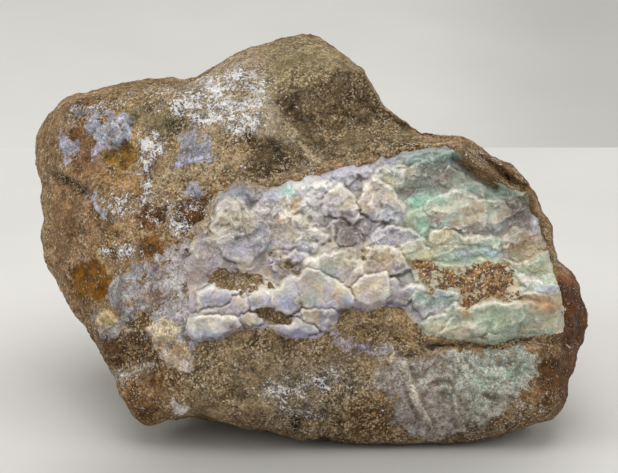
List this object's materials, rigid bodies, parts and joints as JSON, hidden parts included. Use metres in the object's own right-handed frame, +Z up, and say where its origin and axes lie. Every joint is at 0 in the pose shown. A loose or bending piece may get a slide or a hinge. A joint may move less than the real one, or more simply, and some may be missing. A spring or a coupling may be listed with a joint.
{
  "type": "rough opal specimen",
  "caption": "Rough opal in brown host rock: a lumpy pale lilac, cream and mint opal seam across the face of a free-standing stone with a flat base.",
  "frame": {"origin": "on the flat base, straight below the middle of the stone's face", "axes": "+X to the right along the stone's length, +Y away from the opal face, +Z up"},
  "size_m": [0.1495, 0.0999, 0.098],
  "materials": {
    "host_rock": "matt, sandy and gritty, with pale crust, rust and opal stains",
    "opal": "waxy to glassy, milky lilac, cream and mint with faint play of colour"
  },
  "bodies": {
    "root": {"host_rock": "host_rock", "opal_seam": "opal"}
  },
  "joints": []
}
